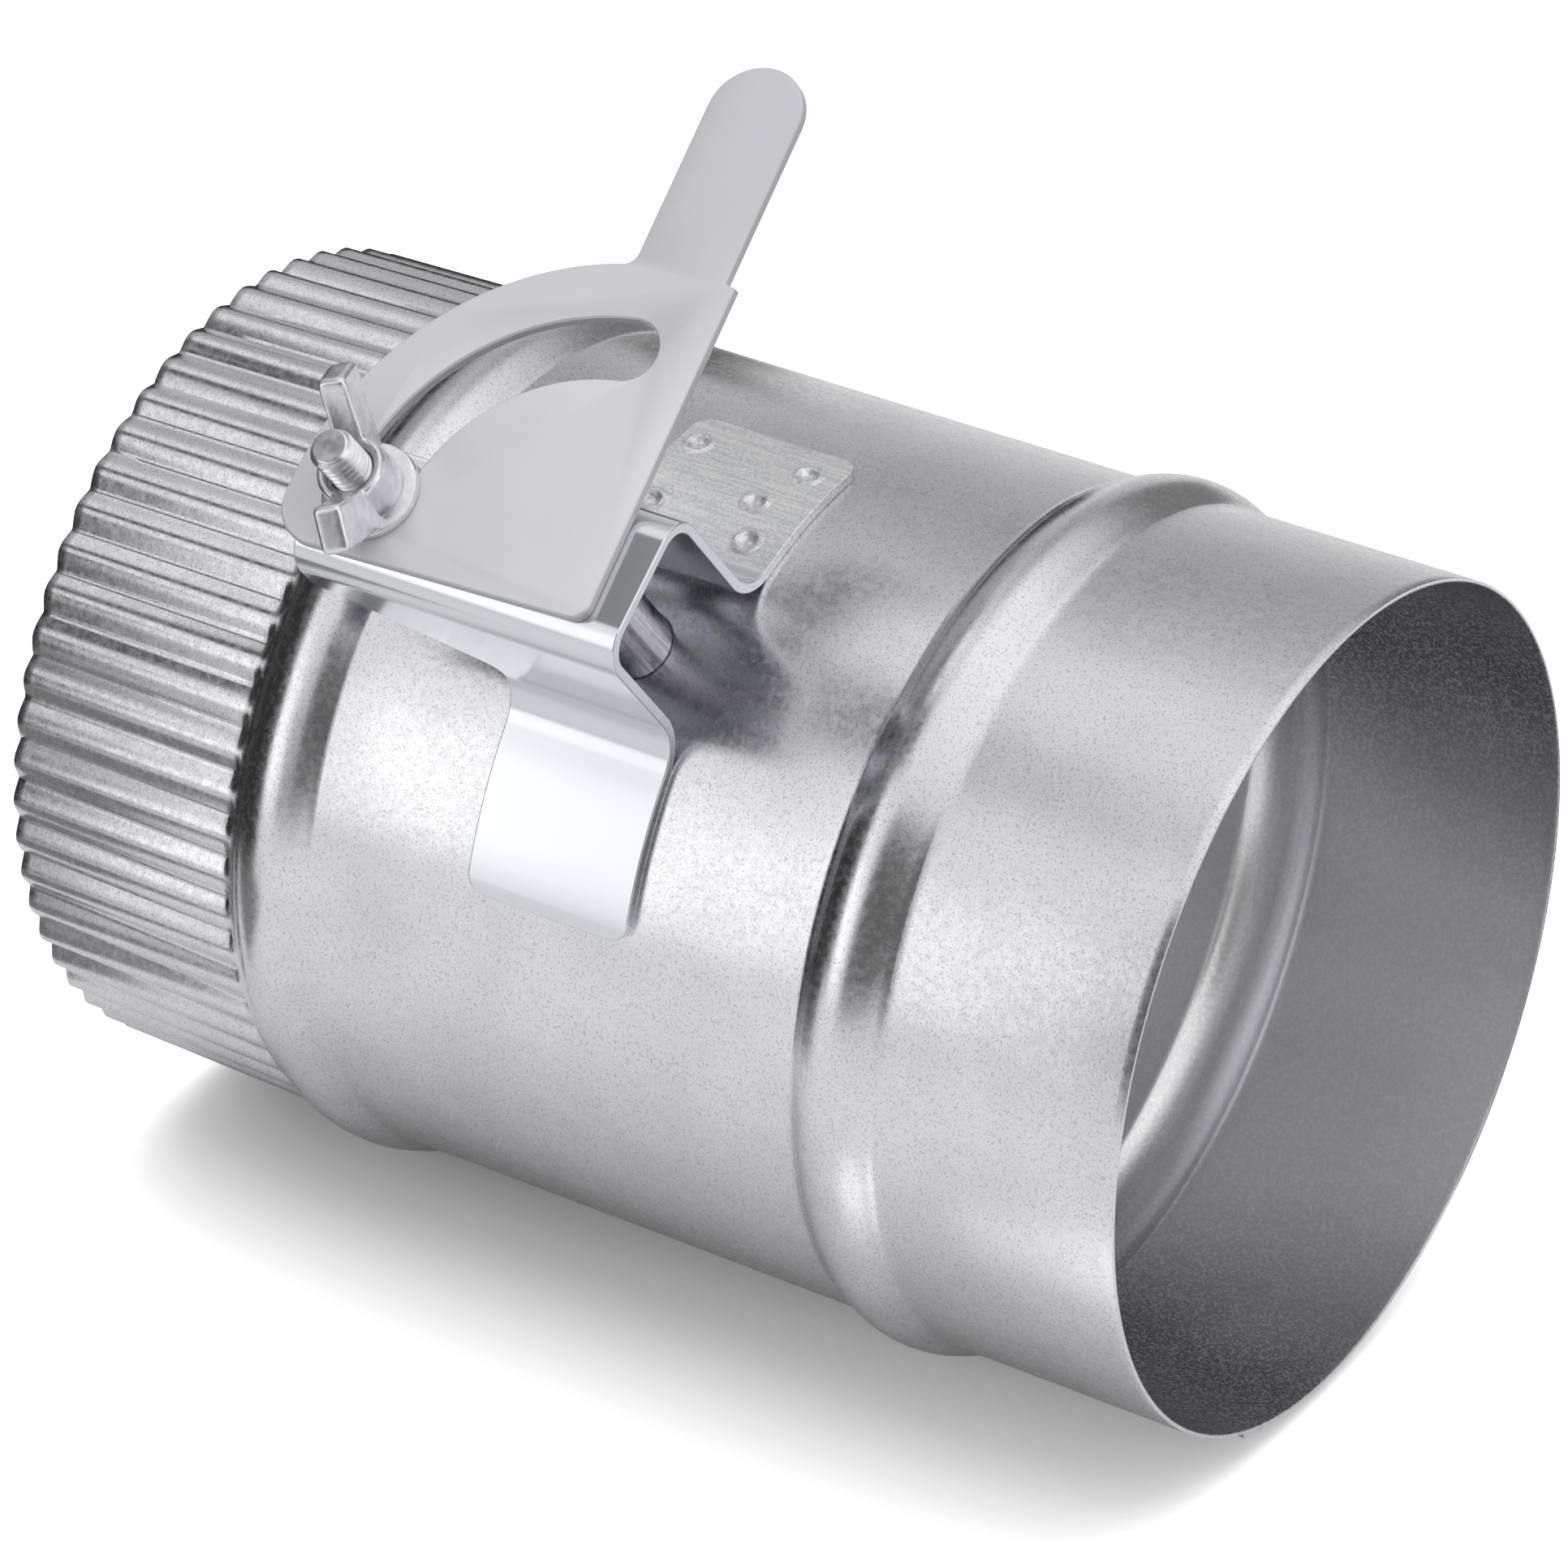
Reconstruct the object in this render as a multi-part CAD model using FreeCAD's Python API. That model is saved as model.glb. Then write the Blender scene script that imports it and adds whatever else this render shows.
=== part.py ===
import FreeCAD, Part
import math
import os
from FreeCAD import Vector

# Manual duct damper for 6 in. round duct: a short galvanized duct with a butterfly blade on a round axle,
# turned by a flat quadrant lever that a wing nut clamps to a folded bracket.
# Lengths are in millimetres and angles in degrees.
# The pieces are drawn upright, with the axle along Z, and turned about the duct's axis at the very end.
# X runs along the duct: the mouth of the plain end is at X = 0 and the crimped end is at negative X.

# Duct
duct_length = 230.0
duct_bore = 152.4
duct_wall = 0.8
bead_width = 15.6
bead_height = 3.0
near_bead_x = -55.0
far_bead_x = -172.0
lap_width = 7.0
lap_angle = -121.0

# Crimped end
crimp_count = 60
crimp_depth = 1.3
crimp_end_depth = 1.6
crimp_land = 1.0
crimp_fit_gap = 0.2

# Axle
axle_x = -113.0
axle_diameter = 12.7
axle_far_stub = 5.0
axle_tilt = 39.0
running_gap = 0.08

# Blade and its rivets
blade_thickness = 1.0
blade_edge_gap = 1.0
saddle_gap = 0.04
saddle_blend = 1.5
rivet_diameter = 4.8
rivet_head_diameter = 8.6
rivet_head_height = 2.0
rivet_spacing = 50.0
rivet_count = 3
rivet_gap = 0.05

# Folded bracket
bracket_sheet = 1.9
bracket_width = 28.8
bracket_stand = 34.0
fold_radius = 4.6
foot_fold_radius = 8.0
foot_reach_angle = 36.6
foot_left = 16.9
foot_right = 15.9
foot_corner = 3.5
lug_margin = 11.5
lug_flange = 11.4
lug_rear = 9.2
leg_top_drop = 25.0
lug_blend = 4.0
weld_mark_radius = 2.1
weld_mark_depth = 0.35
weld_marks = ((-12.6, 30.9), (9.8, 31.1), (-12.0, 19.3), (9.2, 17.7), (5.4, 23.9))

# Quadrant lever
lever_sheet = 2.0
lever_gap = 0.1
lever_lean = 2.25
quadrant_margin = 16.0
quadrant_right = 9.6
quadrant_foot = 10.1
handle_width = 18.0
handle_left = 10.4
handle_reach = 93.2
tail_corner = 8.0
heel_corner = 3.0
handle_fillet = 2.5
edge_break = 0.35

# Slot, and the carriage bolt in it
slot_radius = 38.0
slot_width = 11.4
lever_travel = 81.0
bolt_diameter = 7.94
bolt_reach = 18.0
bolt_chamfer = 0.7
neck_side = 7.9
neck_height = 3.2
neck_slot_gap = 0.35
neck_hole_gap = 0.1
bolt_head_diameter = 18.2
bolt_head_height = 4.6

# Washer and wing nut
washer_diameter = 17.6
washer_thickness = 1.6
washer_gap = 0.35
thread_gap = 0.05
nut_height = 8.4
nut_base_radius = 7.1
nut_top_radius = 6.2
nut_mouth_radius = 5.0
wing_thickness = 5.2
wing_width = 8.4
wing_rise_angle = 50.0
wing_tip_radius = 18.2
wing_tip_height = 12.0
wing_edge_round = 1.3
wing_turn = 117.0

# Sizes that follow from those
duct_inner = duct_bore / 2
duct_outer = duct_inner + duct_wall
axle_radius = axle_diameter / 2
web_top = duct_outer + bracket_stand
web_under = web_top - bracket_sheet
lever_under = web_top + lever_gap
lever_top = lever_under + lever_sheet
washer_top = lever_top + washer_thickness
bolt_x = axle_x - slot_radius
bolt_radius = bolt_diameter / 2
crimp_start = far_bead_x - bead_width / 2 - crimp_land
lug_reach = slot_radius + lug_margin
quadrant_radius = slot_radius + quadrant_margin
saddle_inner = axle_radius + saddle_gap
saddle_outer = saddle_inner + blade_thickness

X_AXIS = Vector(1, 0, 0)
Y_AXIS = Vector(0, 1, 0)
Z_AXIS = Vector(0, 0, 1)
AXLE_FOOT = Vector(axle_x, 0, 0)


def line(a, b):
    return Part.LineSegment(a, b).toShape()


def arc(a, middle, b):
    return Part.Arc(a, middle, b).toShape()


def around(radius, angle, x=0.0):
    """A point round the duct's axis, with the angle measured from the axle towards +Y."""
    turn = math.radians(angle)
    return Vector(x, radius * math.sin(turn), radius * math.cos(turn))


def rod(radius, start, end):
    """A cylinder between two points."""
    way = end - start
    return Part.makeCylinder(radius, way.Length, start, way)


def block(x, y, z):
    """A box given by its lowest and highest place along each axis."""
    size = (x[1] - x[0], y[1] - y[0], z[1] - z[0])
    return Part.makeBox(*size, Vector(x[0], y[0], z[0]))


def upright_edge(solid, x, y):
    """The edge parallel to Z that stands nearest to a place in plan."""
    upright = [e for e in solid.Edges if e.BoundBox.XLength < 1e-3 and e.BoundBox.YLength < 1e-3]
    return min(upright, key=lambda e: math.hypot(e.CenterOfMass.x - x, e.CenterOfMass.y - y))


# Duct

def wall_line(radius):
    """The duct's line along X at one radius, from the crimps to the mouth, over both beads."""
    edges = []
    x = crimp_start
    for centre in (far_bead_x, near_bead_x):
        left = Vector(centre - bead_width / 2, 0, radius)
        crown = Vector(centre, 0, radius + bead_height)
        right = Vector(centre + bead_width / 2, 0, radius)
        if left.x > x:
            edges.append(line(Vector(x, 0, radius), left))
        edges.append(arc(left, crown, right))
        x = right.x
    edges.append(line(Vector(x, 0, radius), Vector(0, 0, radius)))
    return edges


def rolled_wall(inner, outer, angle):
    """The wall between two radii, rolled round the duct's axis."""
    ends = [line(Vector(x, 0, inner), Vector(x, 0, outer)) for x in (crimp_start, 0)]
    wire = Part.Wire(Part.__sortEdges__(wall_line(inner) + wall_line(outer) + ends))
    return Part.Face(wire).revolve(Vector(0, 0, 0), X_AXIS, angle)


def crimp_wire(x, crest, depth):
    """A closed line of round crests that meet in narrow valleys, at one place along the duct."""
    pitch = 360.0 / crimp_count
    edges = []
    for i in range(crimp_count):
        left = around(crest - depth, (i - 0.5) * pitch, x)
        right = around(crest - depth, (i + 0.5) * pitch, x)
        edges.append(arc(left, around(crest, i * pitch, x), right))
    return Part.Wire(edges)


def crimped_bar(inset, end):
    """A solid crimped bar from the duct's end to a given place, inset from the sheet's outer face."""
    crests = ((-duct_length, duct_inner - crimp_fit_gap, crimp_end_depth), (end, duct_outer, crimp_depth))
    wires = [crimp_wire(x, crest - inset, depth) for x, crest, depth in crests]
    return Part.makeLoft(wires, True, True)


def duct_tube():
    """The crimps stop at a short step, one sheet thick, that closes each valley beside the far bead."""
    step_x = crimp_start - duct_wall
    step = rod(duct_outer, Vector(step_x, 0, 0), Vector(crimp_start, 0, 0))
    crimps = crimped_bar(0.0, step_x).fuse(step).cut(crimped_bar(duct_wall, crimp_start))
    tube = rolled_wall(duct_inner, duct_outer, 360)
    lap_span = math.degrees(lap_width / duct_outer)
    lap = rolled_wall(duct_outer, duct_outer + duct_wall, lap_span)
    lap.rotate(Vector(0, 0, 0), X_AXIS, -lap_angle - lap_span / 2)
    tube = tube.fuse([crimps, lap]).removeSplitter()
    reach = duct_outer + bead_height
    hole = rod(axle_radius + running_gap, around(reach, 180, axle_x), around(reach, 0, axle_x))
    return tube.cut(hole)


# Bracket

def hat_line(sheet):
    """Half of the bracket's folded section, on the duct side (sheet 0) or on the outer side."""
    ground = duct_outer + sheet
    leg = bracket_width / 2 - bracket_sheet + sheet
    fold = fold_radius + sheet
    foot_fold = foot_fold_radius + bracket_sheet - sheet
    top = web_under + sheet
    pivot_y = leg + foot_fold
    pivot_z = math.sqrt((ground + foot_fold) ** 2 - pivot_y ** 2)
    pivot_angle = math.degrees(math.atan2(pivot_y, pivot_z))
    foot_end = around(ground, foot_reach_angle)
    foot_middle = around(ground, (foot_reach_angle + pivot_angle) / 2)
    foot_start = around(ground, pivot_angle)
    to_duct = math.atan2(-pivot_z, -pivot_y)
    bend = (to_duct - math.pi) / 2
    bend_middle = Vector(0, pivot_y + foot_fold * math.cos(bend), pivot_z + foot_fold * math.sin(bend))
    leg_foot = Vector(0, leg, pivot_z)
    leg_head = Vector(0, leg, top - fold)
    corner = fold * math.sqrt(0.5)
    head_middle = Vector(0, leg - fold + corner, top - fold + corner)
    web_edge = Vector(0, leg - fold, top)
    edges = [
        arc(foot_end, foot_middle, foot_start),
        arc(foot_start, bend_middle, leg_foot),
        line(leg_foot, leg_head),
        arc(leg_head, head_middle, web_edge),
        line(web_edge, Vector(0, 0, top)),
    ]
    return edges, foot_end


def lug_cutter():
    """What is cut away left of the feet: all behind the lug, and what is below a slanting flange edge."""
    feet_x = axle_x - foot_left
    lug_x = axle_x - lug_reach
    outside = lug_x - bracket_stand
    far = duct_outer + bracket_stand
    flange_z = web_top - lug_flange
    slope = (leg_top_drop - lug_flange) / (lug_reach - foot_left)
    points = [
        Vector(outside, -far, flange_z + slope * bracket_stand),
        Vector(feet_x, -far, web_top - leg_top_drop),
        Vector(feet_x, -far, 0),
        Vector(outside, -far, 0),
    ]
    below = Part.Face(Part.makePolygon(points + points[:1])).extrude(Vector(0, 2 * far, 0))
    ridge = [
        e for e in below.Edges
        if abs(e.CenterOfMass.x - feet_x) < 1e-3 and abs(e.CenterOfMass.z - points[1].z) < 1e-3
    ]
    behind = block((outside, feet_x), (lug_rear, far), (0, web_top + bracket_stand))
    behind = behind.makeFillet(lug_blend / 2, [upright_edge(behind, feet_x, lug_rear)])
    return below.makeFillet(lug_blend, ridge).fuse(behind)


def foot_corner_edges(solid):
    """The short edges through the sheet at the four corners of the feet."""
    middle = duct_outer + bracket_sheet / 2
    corners = [
        around(middle, side * foot_reach_angle, axle_x + reach)
        for side in (-1, 1)
        for reach in (-foot_left, foot_right)
    ]
    return [e for e in solid.Edges for c in corners if (e.CenterOfMass - c).Length < bracket_sheet / 4]


def bracket():
    inner, inner_end = hat_line(0.0)
    outer, outer_end = hat_line(bracket_sheet)
    half = Part.Wire(Part.__sortEdges__(inner + outer + [
        line(inner_end, outer_end),
        line(Vector(0, 0, web_under), Vector(0, 0, web_top)),
    ]))
    start = axle_x - lug_reach
    length = lug_reach + foot_right
    right_half = Part.Face(half).extrude(Vector(length, 0, 0))
    right_half.translate(Vector(start, 0, 0))
    left_half = right_half.mirror(Vector(0, 0, 0), Y_AXIS)
    solid = right_half.fuse(left_half).removeSplitter().cut(lug_cutter())
    solid = solid.makeFillet(foot_corner, foot_corner_edges(solid))
    above = Vector(axle_x, 0, web_top + bracket_sheet)
    solid = solid.cut(rod(axle_radius + running_gap, Vector(axle_x, 0, web_under - bracket_sheet), above))
    half_neck = neck_side / 2 + neck_hole_gap
    hole_x = (bolt_x - half_neck, bolt_x + half_neck)
    hole_z = (web_under - bracket_sheet, web_top + bracket_sheet)
    solid = solid.cut(block(hole_x, (-half_neck, half_neck), hole_z))
    return solid.cut(weld_dents())


def weld_dents():
    """Shallow round dents that the welding tips leave on the upper foot."""
    ball = (weld_mark_radius ** 2 + weld_mark_depth ** 2) / (2 * weld_mark_depth)
    height = duct_outer + bracket_sheet - weld_mark_depth + ball
    dents = []
    for x, angle in weld_marks:
        dent = Part.makeSphere(ball, Vector(axle_x + x, 0, height))
        dent.rotate(Vector(0, 0, 0), X_AXIS, -angle)
        dents.append(dent)
    return Part.makeCompound(dents)


# Carriage bolt, which also passes through the bracket's square hole

def dome(radius, height):
    """A round cap that stands on Z = 0 and has its crown at the given height."""
    ball = (radius ** 2 + height ** 2) / (2 * height)
    side = 2 * ball
    upper = block((-side, side), (-side, side), (0, side))
    return Part.makeSphere(ball, Vector(0, 0, height - ball)).common(upper)


def carriage_bolt():
    tip = lever_top + bolt_reach
    head = dome(bolt_head_diameter / 2, bolt_head_height)
    head.rotate(Vector(0, 0, 0), X_AXIS, 180)
    head.translate(Vector(0, 0, web_under))
    shank = rod(bolt_radius, Vector(0, 0, web_under), Vector(0, 0, tip))
    tip_rim = [e for e in shank.Edges if abs(e.CenterOfMass.z - tip) < 1e-3]
    shank = shank.makeChamfer(bolt_chamfer, tip_rim)
    half = neck_side / 2
    neck_z = (web_under, web_under + neck_height)
    neck = block((-half, half), (-half, half), neck_z)
    neck_round = slot_width / 2 - neck_slot_gap
    neck = neck.common(rod(neck_round, Vector(0, 0, neck_z[0]), Vector(0, 0, neck_z[1])))
    solid = head.fuse([shank, neck]).removeSplitter()
    solid.translate(Vector(bolt_x, 0, 0))
    return solid


# Axle, blade and rivets

def rivet_heights():
    return [(i - (rivet_count - 1) / 2) * rivet_spacing for i in range(rivet_count)]


def rivet_holes():
    radius = rivet_diameter / 2 + rivet_gap
    side = 2 * saddle_outer
    return Part.makeCompound([
        rod(radius, Vector(axle_x - side, 0, z), Vector(axle_x + side, 0, z)) for z in rivet_heights()
    ])


def axle():
    start = Vector(axle_x, 0, -duct_outer - axle_far_stub)
    end = Vector(axle_x, 0, lever_under)
    bar = rod(axle_radius, start, end)
    far_rim = [e for e in bar.Edges if abs(e.CenterOfMass.z - start.z) < 1e-3]
    return bar.makeChamfer(bolt_chamfer, far_rim).cut(rivet_holes())


def blade():
    radius = duct_inner - blade_edge_gap
    half = blade_thickness / 2
    back = Vector(axle_x - half, 0, 0)
    disc = rod(radius, back, back + X_AXIS * blade_thickness)
    span = (-2 * radius, 2 * radius)
    tube = rod(saddle_outer, Vector(axle_x, 0, -radius), Vector(axle_x, 0, radius))
    front = block((axle_x - half, axle_x + 2 * saddle_outer), span, span)
    bore = rod(saddle_inner, Vector(axle_x, 0, -2 * radius), Vector(axle_x, 0, 2 * radius))
    rim = rod(radius, Vector(axle_x - saddle_outer, 0, 0), Vector(axle_x + 2 * saddle_outer, 0, 0))
    solid = disc.fuse(tube.common(front)).cut(bore)
    valleys = [
        e for e in solid.Edges
        if e.BoundBox.XLength < 1e-3 and e.BoundBox.YLength < 1e-3
        and abs(e.CenterOfMass.x - axle_x - half) < 1e-3
        and abs(e.CenterOfMass.y) > saddle_inner
    ]
    return solid.makeFillet(saddle_blend, valleys).common(rim).cut(rivet_holes())


def rivet_head(seat, side):
    """A low chamfered head that bears on the crown of a round back, on one side of the axle."""
    crown = side * (seat + rivet_head_height)
    head = rod(rivet_head_diameter / 2, Vector(side * seat, 0, 0), Vector(crown, 0, 0))
    rim = [e for e in head.Edges if abs(e.CenterOfMass.x - crown) < 1e-3]
    return head.makeChamfer(rivet_head_height / 2, rim)


def rivet(height):
    shank = rod(rivet_diameter / 2, Vector(-axle_radius, 0, 0), Vector(saddle_outer, 0, 0))
    solid = shank.fuse([rivet_head(saddle_outer, 1), rivet_head(axle_radius, -1)]).removeSplitter()
    solid.translate(Vector(axle_x, 0, height))
    return solid


# Quadrant lever

def slot_cutter(low, high):
    """The curved slot, with the bolt at one end when the blade is shut and at the other when it is open."""
    height = high - low
    foot = Vector(axle_x, 0, low)
    half = slot_width / 2
    sector = Part.makeCylinder(slot_radius + half, height, foot, Z_AXIS, lever_travel)
    sector.rotate(foot, Z_AXIS, 180 - lever_travel)
    band = sector.cut(Part.makeCylinder(slot_radius - half, height, foot, Z_AXIS))
    ends = []
    for angle in (180, 180 - lever_travel):
        turn = math.radians(angle)
        centre = foot + Vector(slot_radius * math.cos(turn), slot_radius * math.sin(turn), 0)
        ends.append(Part.makeCylinder(half, height, centre, Z_AXIS))
    return band.fuse(ends)


def lever():
    foot = Vector(0, 0, lever_under)
    big = 2 * handle_reach
    z = (lever_under, lever_top)
    quadrant = Part.makeCylinder(quadrant_radius, lever_sheet, foot, Z_AXIS)
    quadrant = quadrant.common(block((-big, quadrant_right), (-quadrant_foot, big), z))
    handle_right = handle_width - handle_left
    tip_y = handle_reach - handle_width / 2
    tip = Vector(handle_right - handle_width / 2, tip_y, lever_under)
    handle = block((-handle_left, handle_right), (0, tip_y), z)
    handle = handle.fuse(Part.makeCylinder(handle_width / 2, lever_sheet, tip, Z_AXIS))
    plate = quadrant.fuse(handle).removeSplitter()
    tail_x = -math.sqrt(quadrant_radius ** 2 - quadrant_foot ** 2)
    shoulder_y = math.sqrt(quadrant_radius ** 2 - handle_left ** 2)
    for x, y, radius in (
        (tail_x, -quadrant_foot, tail_corner),
        (quadrant_right, -quadrant_foot, heel_corner),
        (-handle_left, shoulder_y, handle_fillet),
    ):
        plate = plate.makeFillet(radius, [upright_edge(plate, x, y)])
    plate.rotate(Vector(0, 0, 0), Z_AXIS, lever_lean)
    plate.translate(AXLE_FOOT)
    plate = plate.cut(slot_cutter(lever_under - lever_sheet, lever_top + lever_sheet))
    top_edges = [e for e in plate.Edges if abs(e.BoundBox.ZMin - lever_top) < 1e-3]
    return plate.makeChamfer(edge_break, top_edges)


# Washer and wing nut

def washer():
    foot = Vector(bolt_x, 0, lever_top)
    ring = Part.makeCylinder(washer_diameter / 2, washer_thickness, foot, Z_AXIS)
    ring = ring.cut(Part.makeCylinder(bolt_radius + washer_gap, washer_thickness, foot, Z_AXIS))
    rims = [
        e for e in ring.Edges
        if abs(e.BoundBox.XLength - washer_diameter) < 1e-3 and e.BoundBox.ZMin > lever_top
    ]
    return ring.makeChamfer(washer_thickness / 4, rims)


def wing():
    """One slanting wing with a square end, standing out along +X from the nut's base at Z = 0."""
    rise = math.radians(wing_rise_angle)
    along = Vector(math.cos(rise), 0, math.sin(rise))
    across = Vector(-math.sin(rise), 0, math.cos(rise))
    low_tip = Vector(wing_tip_radius, 0, wing_tip_height)
    high_tip = low_tip + across * wing_width
    root = wing_tip_radius / math.cos(rise)
    points = [low_tip, high_tip, high_tip - along * root, low_tip - along * root]
    shift = Vector(0, -wing_thickness / 2, 0)
    outline = Part.makePolygon([p + shift for p in points + points[:1]])
    plate = Part.Face(outline).extrude(Vector(0, wing_thickness, 0))
    beyond = 2 * wing_tip_radius
    keep = block((bolt_radius + thread_gap, beyond), (-beyond, beyond), (0, beyond))
    ends = [e for e in plate.Edges if e.CenterOfMass.x > wing_tip_radius * 0.6]
    return plate.makeFillet(wing_edge_round, ends).common(keep)


def wing_nut():
    bore = bolt_radius + thread_gap
    mouth = nut_mouth_radius - bore
    points = [
        Vector(bore, 0, 0),
        Vector(nut_base_radius, 0, 0),
        Vector(nut_top_radius, 0, nut_height),
        Vector(nut_mouth_radius, 0, nut_height),
        Vector(bore, 0, nut_height - mouth),
    ]
    hub = Part.Face(Part.makePolygon(points + points[:1])).revolve(Vector(0, 0, 0), Z_AXIS, 360)
    clear = Part.makeCone(bore, bore + 2 * nut_height, 2 * nut_height, Vector(0, 0, nut_height - mouth))
    throat = Part.makeCylinder(bore, 2 * nut_height).fuse(clear)
    wings = []
    for turn in (0, 180):
        blade_of_nut = wing().cut(throat)
        blade_of_nut.rotate(Vector(0, 0, 0), Z_AXIS, turn)
        wings.append(blade_of_nut)
    solid = hub.fuse(wings).removeSplitter()
    solid.rotate(Vector(0, 0, 0), Z_AXIS, wing_turn)
    solid.translate(Vector(bolt_x, 0, washer_top))
    return solid


# Every piece by its name

pieces = {
    "duct_tube": duct_tube(),
    "bracket": bracket(),
    "carriage_bolt": carriage_bolt(),
    "lever": lever(),
    "axle": axle(),
    "blade": blade(),
    "washer": washer(),
    "wing_nut": wing_nut(),
}
for number, height in enumerate(rivet_heights(), 1):
    pieces[f"blade_rivet_{number}"] = rivet(height)

os.makedirs("parts", exist_ok=True)
for name, shape in pieces.items():
    shape.rotate(Vector(0, 0, 0), X_AXIS, axle_tilt)
    box = shape.BoundBox
    print(f"{name}: {len(shape.Solids)} solid, valid {shape.isValid()}, volume {shape.Volume:.0f}")
    print(f"  lowest {box.XMin:.2f} {box.YMin:.2f} {box.ZMin:.2f}")
    print(f"  highest {box.XMax:.2f} {box.YMax:.2f} {box.ZMax:.2f}")
    shape.exportStep(f"parts/{name}.step")
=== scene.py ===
# %% [markdown]
# # A manual duct damper
#
# This is a short piece of round sheet-metal duct with a butterfly blade inside. A flat lever turns the blade's
# axle, and a wing nut on a bolt clamps the lever to a folded bracket. The solids of the model are loaded first
# and stay as they are. Each piece below is then made again with the small forms that the eye looks for: the
# rolled rim, the crimps, the thread, the broken edges and the weld marks.

# %% Load the solids
import math
import random

import bmesh
import bpy
from mathutils import Matrix, Vector


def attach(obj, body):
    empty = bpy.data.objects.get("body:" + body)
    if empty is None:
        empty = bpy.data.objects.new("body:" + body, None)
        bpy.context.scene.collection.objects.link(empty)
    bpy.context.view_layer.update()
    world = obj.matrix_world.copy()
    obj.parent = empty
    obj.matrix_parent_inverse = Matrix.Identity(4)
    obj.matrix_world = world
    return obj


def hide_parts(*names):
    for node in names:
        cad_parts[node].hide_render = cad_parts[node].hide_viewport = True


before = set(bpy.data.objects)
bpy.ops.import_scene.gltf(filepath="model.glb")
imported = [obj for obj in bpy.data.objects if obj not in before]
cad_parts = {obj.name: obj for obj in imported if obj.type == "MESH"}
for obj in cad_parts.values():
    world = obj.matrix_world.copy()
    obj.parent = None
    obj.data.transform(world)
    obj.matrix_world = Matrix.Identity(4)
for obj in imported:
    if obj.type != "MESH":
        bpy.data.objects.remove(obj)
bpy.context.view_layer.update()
scene = bpy.context.scene
print("solids:", ", ".join(sorted(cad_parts)))

# %% [markdown]
# The axle leans 39 degrees to the front, and everything on it leans with it. It is easier to draw the pieces
# upright and in millimetres, with the axle along Z, and to turn and shrink each finished mesh once. The duct
# runs along X and is round, so the turn doesn't change it.

# %% From the upright drawing to its place
AXLE_X = -113.0
AXLE_TILT = math.radians(39.0)
TO_PLACE = Matrix.Scale(0.001, 4) @ Matrix.Rotation(AXLE_TILT, 4, "X")
DUCT_INNER = 76.2
DUCT_OUTER = 77.0
BOLT_X = -151.0
WASHER_TOP = 114.7
print("the axle points to", [round(c, 3) for c in TO_PLACE.to_3x3() @ Vector((0, 0, 1000))])

# %% [markdown]
# Three helpers serve most pieces. `turned` spins an outline round an axis, as a lathe would. `cut_by` takes
# other shapes out of a mesh, for drilled and punched holes.

# %% Helpers for shapes
def open_line(bm, points):
    """Vertices at some points, joined by edges."""
    verts = [bm.verts.new(p) for p in points]
    edges = [bm.edges.new(pair) for pair in zip(verts, verts[1:])]
    return verts, edges


def turned(bm, points, axis, steps, closed=False, centre=(0, 0, 0)):
    """Spins an outline once round an axis."""
    verts, edges = open_line(bm, points)
    if closed:
        edges.append(bm.edges.new((verts[-1], verts[0])))
    bmesh.ops.spin(bm, geom=verts + edges, cent=centre, axis=axis, angle=math.tau, steps=steps, use_merge=True)
    bmesh.ops.remove_doubles(bm, verts=bm.verts, dist=1e-4)
    bmesh.ops.recalc_face_normals(bm, faces=bm.faces)


def mesh_of(bm, name):
    """Turns a bmesh into a mesh and frees it."""
    mesh = bpy.data.meshes.new(name)
    bm.to_mesh(mesh)
    bm.free()
    return mesh


def with_modifiers(bm, *steps):
    """Gives a bmesh back after a few modifiers, each a type and its settings."""
    holder = bpy.data.objects.new("holder", mesh_of(bm, "holder"))
    scene.collection.objects.link(holder)
    for number, (kind, settings) in enumerate(steps):
        modifier = holder.modifiers.new(f"step_{number}", kind)
        for key, value in settings.items():
            setattr(modifier, key, value)
    bpy.context.view_layer.update()
    result = holder.evaluated_get(bpy.context.evaluated_depsgraph_get()).to_mesh()
    made = bmesh.new()
    made.from_mesh(result)
    bpy.data.meshes.remove(holder.data)
    return made


def merge(bm, other):
    """Adds another mesh to this one."""
    mesh = mesh_of(other, "merged")
    bm.from_mesh(mesh)
    bpy.data.meshes.remove(mesh)


def cut_by(bm, cutter):
    """Gives a bmesh back with the cutter's shape taken out."""
    tool = bpy.data.objects.new("cutter", mesh_of(cutter, "cutter"))
    scene.collection.objects.link(tool)
    made = with_modifiers(bm, ("BOOLEAN", {"operation": "DIFFERENCE", "object": tool, "solver": "EXACT"}))
    bpy.data.meshes.remove(tool.data)
    return made


def as_piece(bm, name, body, finish, stands_for, sharp=35.0):
    bmesh.ops.transform(bm, matrix=TO_PLACE, verts=bm.verts)
    for face in bm.faces:
        face.smooth = True
    for edge in bm.edges:
        if len(edge.link_faces) == 2 and edge.calc_face_angle() > math.radians(sharp):
            edge.smooth = False
    mesh = mesh_of(bm, name)
    for material in finish if isinstance(finish, list) else [finish]:
        mesh.materials.append(material)
    piece = bpy.data.objects.new(name, mesh)
    scene.collection.objects.link(piece)
    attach(piece, body)
    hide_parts(stands_for)
    size = [round(d * 1000, 1) for d in piece.dimensions]
    print(f"{name}: {len(mesh.polygons)} faces, {size} mm")


# %% [markdown]
# All the metal is zinc-coated steel, but it isn't all alike: the duct's sheet is covered in fine dark specks, the
# bracket is a soft mirror, the lever is satin and the hardware is bright. The finishes share a small set of
# nodes: a pattern read from the object's own coordinates, and a ramp that turns it into a number between two
# limits. Those coordinates are in metres, so a noise of scale 2500 has a spot about every 0.4 mm.

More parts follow.
